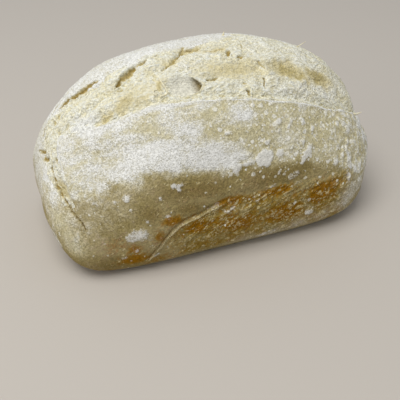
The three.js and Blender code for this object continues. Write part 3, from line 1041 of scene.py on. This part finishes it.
# short names for the nodes of one material
class NodeDesk:
    def __init__(self, material):
        material.use_nodes = True
        self.material = material
        self.tree = material.node_tree
        self.shader = self.tree.nodes["Principled BSDF"]

    def add(self, kind, **settings):
        node = self.tree.nodes.new(kind)
        for name, value in settings.items():
            setattr(node, name, value)
        return node

    def link(self, source, target):
        self.tree.links.new(source, target)

    def mask(self, name):
        return self.add("ShaderNodeAttribute", attribute_name=name).outputs["Fac"]

    def math(self, operation, first, second):
        node = self.add("ShaderNodeMath", operation=operation)
        for socket, value in zip(node.inputs, (first, second)):
            if isinstance(value, (int, float)):
                socket.default_value = value
            else:
                self.link(value, socket)
        return node.outputs[0]

    def plus(self, first, second):
        return self.math("ADD", first, second)

    def minus(self, first, second):
        return self.math("SUBTRACT", first, second)

    def times(self, first, second):
        return self.math("MULTIPLY", first, second)

    def larger(self, first, second):
        return self.math("MAXIMUM", first, second)

    def ramp(self, value, low, high, least=0.0, most=1.0):
        node = self.add("ShaderNodeMapRange", interpolation_type="SMOOTHSTEP")
        self.link(value, node.inputs["Value"])
        node.inputs["From Min"].default_value = low
        node.inputs["From Max"].default_value = high
        node.inputs["To Min"].default_value = least
        node.inputs["To Max"].default_value = most
        return node.outputs["Result"]

    def speckle(self, place, scale, detail, roughness=0.55):
        node = self.add("ShaderNodeTexNoise")
        node.inputs["Scale"].default_value = scale
        node.inputs["Detail"].default_value = detail
        node.inputs["Roughness"].default_value = roughness
        self.link(place, node.inputs["Vector"])
        return node.outputs["Fac"]

    def blend(self, share, under, over):
        node = self.add("ShaderNodeMix", data_type="RGBA")
        self.link(share, node.inputs["Factor"])
        for socket, value in ((node.inputs[6], under), (node.inputs[7], over)):
            if isinstance(value, tuple):
                socket.default_value = value
            else:
                self.link(value, socket)
        return node.outputs[2]

    def toned(self, colour, tone):
        node = self.add("ShaderNodeMix", data_type="RGBA", blend_type="MULTIPLY")
        node.inputs["Factor"].default_value = 1.0
        self.link(colour, node.inputs[6])
        self.link(tone, node.inputs[7])
        return node.outputs[2]

    def dots(self, place, scale, density, size):
        node = self.add("ShaderNodeTexVoronoi")
        node.inputs["Scale"].default_value = scale
        self.link(place, node.inputs["Vector"])
        split = self.add("ShaderNodeSeparateColor")
        self.link(node.outputs["Color"], split.inputs["Color"])
        chosen = self.ramp(self.plus(split.outputs[0], density), 0.98, 1.02)
        ownSize = self.times(split.outputs[1], size)
        near = self.ramp(self.minus(ownSize, node.outputs["Distance"]), -0.02, 0.1)
        strength = self.ramp(split.outputs[2], 0.0, 1.0, 0.45, 1.0)
        return self.times(self.times(chosen, near), strength)

    def warped(self, place, scale, amount):
        node = self.add("ShaderNodeTexNoise")
        node.inputs["Scale"].default_value = scale
        node.inputs["Detail"].default_value = 2.0
        self.link(place, node.inputs["Vector"])
        centred = self.add("ShaderNodeVectorMath", operation="SUBTRACT")
        self.link(node.outputs["Color"], centred.inputs[0])
        centred.inputs[1].default_value = (0.5, 0.5, 0.5)
        push = self.add("ShaderNodeVectorMath", operation="MULTIPLY_ADD")
        self.link(centred.outputs[0], push.inputs[0])
        push.inputs[1].default_value = (amount, amount, amount)
        self.link(place, push.inputs[2])
        return push.outputs[0]

    def stretched(self, place, scale):
        node = self.add("ShaderNodeMapping")
        node.inputs["Scale"].default_value = scale
        self.link(place, node.inputs["Vector"])
        return node.outputs[0]

    def slanted(self, place, stretch, slope):
        node = self.add("ShaderNodeMapping", vector_type="TEXTURE")
        node.inputs["Rotation"].default_value = (0.0, -math.radians(slope), 0.0)
        node.inputs["Scale"].default_value = (stretch, 1.0, 1.0)
        self.link(place, node.inputs["Vector"])
        return node.outputs[0]


# noise of several sizes, which frays the masks
class Grain:
    def __init__(self, desk):
        self.desk = desk
        self.place = desk.add("ShaderNodeTexCoord").outputs["Object"]
        self.bent = desk.warped(self.place, 520, 0.0016)
        self.fine = desk.speckle(self.place, 1250, 2.0, 0.6)
        self.small = desk.speckle(self.place, 760, 2.0, 0.6)
        self.middle = desk.speckle(self.place, 420, 3.0, 0.6)
        self.patch = desk.speckle(self.bent, 170, 3.0, 0.6)
        self.broad = desk.speckle(self.place, 60, 3.0)

    def mottled(self, mask, fineShare, middleShare, broadShare=0.0):
        desk = self.desk
        total = desk.times(self.fine, fineShare)
        total = desk.plus(total, desk.times(self.middle, middleShare))
        total = desk.plus(total, desk.times(self.broad, broadShare))
        centred = desk.minus(total, 0.5 * (fineShare + middleShare + broadShare))
        return desk.plus(mask, centred)

    # small lights and darks, stronger in some patches
    def tone(self, least, most):
        desk = self.desk
        total = desk.minus(desk.plus(self.fine, self.small), 1.0)
        uneven = desk.times(total, desk.ramp(self.patch, 0.35, 0.65, 0.5, 1.5))
        return desk.ramp(uneven, -0.26, 0.26, least, most)

    def easedTone(self, least, most, ease):
        desk = self.desk
        tone = self.tone(least, most)
        return desk.plus(tone, desk.times(desk.minus(1.0, tone), ease))


def finishMaterial(desk, colour, height, strength, depth, roughness):
    desk.link(colour, desk.shader.inputs["Base Color"])
    desk.shader.inputs["Roughness"].default_value = roughness
    desk.shader.inputs["Specular IOR Level"].default_value = dryShine
    bump = desk.add("ShaderNodeBump")
    bump.inputs["Strength"].default_value = strength
    bump.inputs["Distance"].default_value = depth * mm
    desk.link(height, bump.inputs["Height"])
    desk.link(bump.outputs["Normal"], desk.shader.inputs["Normal"])
    return desk.material


def bareCrust(desk, grain):
    low = desk.blend(desk.ramp(grain.broad, 0.36, 0.64), paintSet["oliveDark"], paintSet["olive"])
    shade = desk.ramp(grain.mottled(desk.mask("shade"), 0.5, 0.6, 0.8), 0.1, 1.3)
    low = desk.blend(shade, low, paintSet["shade"])
    pale = desk.mask("pale")
    light = desk.ramp(grain.mottled(pale, 0.8, 0.9, 0.8), 0.6, 1.3)
    high = desk.blend(light, paintSet["tanDark"], paintSet["tan"])
    crust = desk.blend(desk.ramp(grain.mottled(pale, 0.6, 0.8, 0.4), 0.1, 0.9), low, high)
    gilding = desk.ramp(grain.mottled(desk.mask("golden"), 0.8, 1.2, 0.6), 0.1, 1.0, 0.0, 0.9)
    crust = desk.blend(gilding, crust, paintSet["gold"])
    baking = desk.ramp(grain.mottled(desk.mask("bake"), 1.2, 2.0, 0.8), 0.1, 1.0)
    crust = desk.blend(baking, crust, paintSet["baked"])
    # flake colour on the wrinkle crests, and as a painted highlight on the fold ridge
    flaky = desk.ramp(grain.mottled(desk.mask("flaky"), 1.4, 1.2), 0.3, 1.0, 0.0, 0.85)
    return desk.blend(flaky, crust, paintSet["flake"])


# the crumb's colours where the crust is torn open, with brown painted shade where it is deepest and a
# near-black painted shadow in the low cracks
def tornOpen(desk, crust):
    tear = desk.mask("tear")
    inside = desk.blend(tear, crumbPaint["low"], crumbPaint["deep"])
    inside = desk.blend(desk.mask("crack"), inside, paintSet["crack"])
    return desk.blend(desk.larger(desk.mask("crumb"), tear), crust, inside)


# short strokes of loose skin that follow the fold
def skinFlecks(desk, grain):
    mask = desk.mask("fleck")
    fleck = desk.dots(desk.slanted(grain.bent, 1.8, 35), 700, desk.times(mask, 0.4), 0.62)
    flowing = desk.speckle(desk.slanted(grain.bent, 2.4, 30), 640, 2.0, 0.5)
    reach = desk.plus(flowing, desk.times(mask, 0.13))
    return desk.larger(fleck, desk.ramp(reach, 0.64, 0.72, 0.0, 0.85))


def flourSpecks(desk, grain):
    mask = desk.mask("speck")
    small = desk.dots(grain.bent, 620, desk.times(mask, 0.8), 0.6)
    return desk.larger(small, desk.dots(grain.bent, 300, mask, 0.52))


# a thin veil, and white grains that join where the flour is thick
def flourLayers(desk, grain):
    mask = desk.mask("flour")
    patchy = desk.times(desk.minus(grain.patch, 0.5), 0.8)
    dusting = desk.plus(mask, desk.times(patchy, desk.ramp(mask, 0.1, 0.4)))
    veil = desk.ramp(grain.mottled(dusting, 0.4, 0.5, 0.6), 0.0, 1.0, 0.0, 0.85)
    scatter = desk.minus(grain.mottled(dusting, 2.0, 0.6, 0.5), dusting)
    scatter = desk.times(scatter, desk.ramp(mask, 0.15, 0.5, 0.5, 1.0))
    grains = desk.ramp(desk.plus(dusting, scatter), 0.4, 1.1, 0.0, 0.95)
    clump = desk.ramp(grain.mottled(desk.mask("clump"), 0.9, 1.3), 0.2, 0.85, 0.0, 0.8)
    return veil, desk.larger(grains, clump)


def crustMaterial():
    desk = NodeDesk(bpy.data.materials.new("flouredCrust"))
    grain = Grain(desk)
    fleck = skinFlecks(desk, grain)
    specks = flourSpecks(desk, grain)
    veil, white = flourLayers(desk, grain)
    colour = desk.blend(fleck, tornOpen(desk, bareCrust(desk, grain)), paintSet["flake"])
    colour = desk.blend(veil, colour, paintSet["veil"])
    colour = desk.blend(specks, colour, paintSet["speck"])
    colour = desk.blend(white, colour, paintSet["flour"])
    colour = desk.toned(colour, grain.easedTone(0.74, 1.2, desk.times(white, 0.45)))
    raised = desk.larger(desk.larger(white, specks), fleck)
    raised = desk.times(desk.plus(raised, grain.fine), 0.5)
    height = desk.plus(desk.plus(grain.middle, grain.small), raised)
    return finishMaterial(desk, colour, height, 0.6, 0.7, paintSet["roughness"])


def crumbMaterial():
    desk = NodeDesk(bpy.data.materials.new("tornCrumb"))
    grain = Grain(desk)
    thread = desk.speckle(desk.stretched(grain.bent, (0.35, 1.0, 1.0)), 900, 3.0, 0.65)
    threads = desk.times(desk.minus(thread, 0.5), 2.4)
    # painted shade: the crumb's hollows darken to middle and then low, mixed with streaks of thread
    lowness = desk.minus(grain.mottled(desk.mask("hollow"), 0.8, 1.0, 0.5), threads)
    colour = desk.blend(desk.ramp(lowness, -0.1, 0.7), crumbPaint["light"], crumbPaint["middle"])
    golden = desk.plus(grain.patch, desk.times(desk.mask("hollow"), 0.25))
    colour = desk.blend(desk.ramp(golden, 0.52, 0.8, 0.0, 0.65), colour, crumbPaint["patch"])
    colour = desk.blend(desk.ramp(lowness, 0.65, 1.5), colour, crumbPaint["low"])
    # the dips' own yellow, darkened where they are strongest as painted shade
    dip = grain.mottled(desk.mask("dip"), 0.5, 0.6, 0.3)
    colour = desk.blend(desk.ramp(dip, 0.0, 0.6, 0.0, 0.85), colour, crumbPaint["sweep"])
    colour = desk.blend(desk.ramp(dip, 0.4, 1.1, 0.0, 0.95), colour, crumbPaint["dip"])
    colour = desk.blend(desk.times(desk.mask("bubble"), 0.9), colour, crumbPaint["bubble"])
    halo = desk.ramp(grain.mottled(desk.mask("tear"), 0.4, 0.7), 0.05, 1.0, 0.0, 0.95)
    colour = desk.blend(halo, colour, crumbPaint["gold"])
    # painted shade: brown deep in the tears
    dark = desk.ramp(grain.mottled(desk.mask("dark"), 0.3, 0.5), 0.1, 0.9)
    colour = desk.blend(dark, colour, crumbPaint["deep"])
    # painted shade in the bubble's cave
    colour = desk.blend(desk.mask("cave"), colour, crumbPaint["cave"])
    # flour on the crumb, and on its right half flour colour as painted light
    flour = desk.ramp(grain.mottled(desk.mask("flour"), 1.8, 1.2), 0.15, 0.85, 0.0, 0.95)
    dusty = desk.times(flour, desk.minus(1.0, desk.mask("tear")))
    colour = desk.blend(dusty, colour, crumbPaint["flour"])
    ease = desk.times(desk.mask("swept"), 0.6)
    colour = desk.toned(colour, grain.easedTone(0.79, 1.22, ease))
    height = desk.plus(desk.times(grain.fine, 0.5), thread)
    return finishMaterial(desk, colour, height, 1.0, 1.0, crumbPaint["roughness"])


def strandMaterial():
    desk = NodeDesk(bpy.data.materials.new("doughStrand"))
    grain = Grain(desk)
    colour = desk.blend(desk.ramp(grain.middle, 0.35, 0.65), strandSet["dark"], strandSet["light"])
    return finishMaterial(desk, colour, grain.fine, 0.4, 0.7, strandSet["roughness"])


# stretched threads of dough that stand clear of the crumb, each point with its half thickness
strandSet = dict(
    runs=(
        ((-28.7, -10.3, 108.9, 0.25), (-28.4, -15.2, 107.8, 0.4), (-27.6, -18.0, 106.2, 0.45),
         (-26.7, -19.6, 104.6, 0.45), (-26.8, -22.3, 102.3, 0.45), (-29.2, -22.9, 102.2, 0.35),
         (-31.2, -22.8, 101.7, 0.22)),
        ((-31.4, -19.2, 104.0, 0.2), (-33.0, -19.0, 104.1, 0.3), (-34.0, -20.4, 103.4, 0.34),
         (-33.0, -21.7, 102.7, 0.3), (-31.6, -21.0, 103.0, 0.2)),
        ((21.8, 20.2, 108.0, 1.3), (21.9, 20.0, 110.8, 0.7), (22.3, 19.8, 112.9, 0.14)),
        ((64.0, 9.6, 97.6, 0.45), (67.0, 9.7, 99.4, 0.35), (70.0, 9.9, 100.6, 0.28),
         (73.4, 10.2, 102.0, 0.1)),
        ((88.0, -27.0, 66.5, 0.9), (92.6, -25.4, 65.3, 0.9), (96.2, -24.4, 64.4, 0.6),
         (99.4, -23.8, 64.6, 0.15)),
    ),
    dark=(0.76, 0.68, 0.43, 1), light=(0.87, 0.83, 0.66, 1), roughness=0.85,
)


def makeStrands(settings):
    data = bpy.data.curves.new("doughStrands", "CURVE")
    data.dimensions = "3D"
    data.bevel_depth = mm
    data.bevel_resolution = 2
    data.resolution_u = 6
    data.use_fill_caps = True
    for run in settings["runs"]:
        thread = data.splines.new("BEZIER")
        thread.bezier_points.add(len(run) - 1)
        for knot, (x, y, z, thickness) in zip(thread.bezier_points, run):
            knot.co = (np.array((x, y, z)) + centreShift) * mm
            knot.radius = thickness
            knot.handle_left_type = "AUTO"
            knot.handle_right_type = "AUTO"
    strands = bpy.data.objects.new("doughStrands", data)
    bpy.context.collection.objects.link(strands)
    activate(strands)
    bpy.ops.object.convert(target="MESH")
    bpy.ops.object.shade_smooth()
    return strands


strands = makeStrands(strandSet)
loaf.data.materials.append(crustMaterial())
crumb.data.materials.clear()
crumb.data.materials.append(crumbMaterial())
strands.data.materials.append(strandMaterial())
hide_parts("loaf")
for piece in (loaf, crumb, strands):
    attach(piece, "root")
for piece in (loaf, crumb, strands):
    print(piece.name, triangleCount(piece), "triangles")
print("loaf painted")
